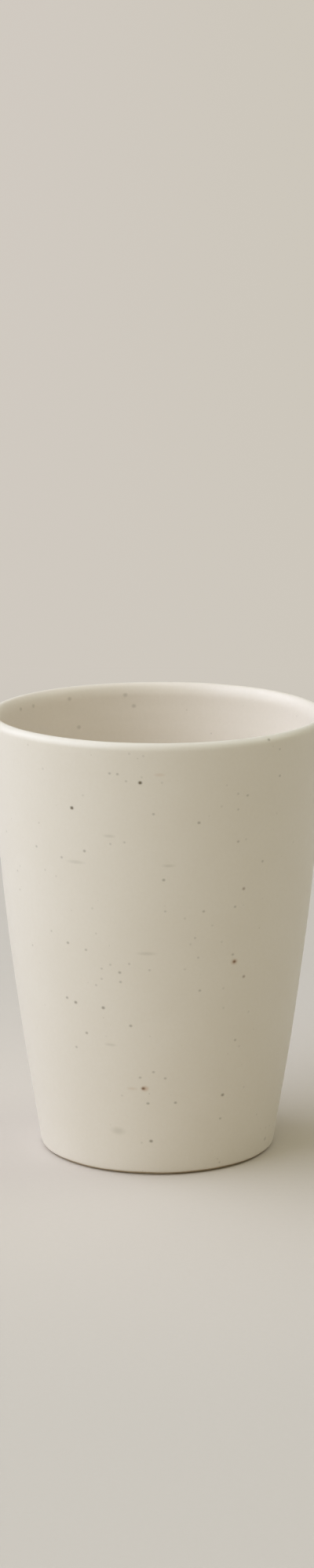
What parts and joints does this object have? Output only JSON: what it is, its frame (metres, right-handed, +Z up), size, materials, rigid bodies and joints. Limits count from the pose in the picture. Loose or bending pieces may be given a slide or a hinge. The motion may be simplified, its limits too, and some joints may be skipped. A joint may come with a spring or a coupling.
{
  "type": "stoneware water cup",
  "caption": "Handleless tapered stoneware water cup with a rounded lip, a satin speckled glaze and an unglazed foot.",
  "frame": {"origin": "centre of the foot ring, on the surface that the cup stands on", "axes": "+Z up the cup's axis from the foot to the open mouth; X and Y are alike, because the cup is round"},
  "size_m": [0.08, 0.08, 0.1045],
  "materials": {
    "glaze": "satin speckled off-white glaze"
  },
  "bodies": {
    "root": {"cup": "glaze"}
  },
  "joints": []
}
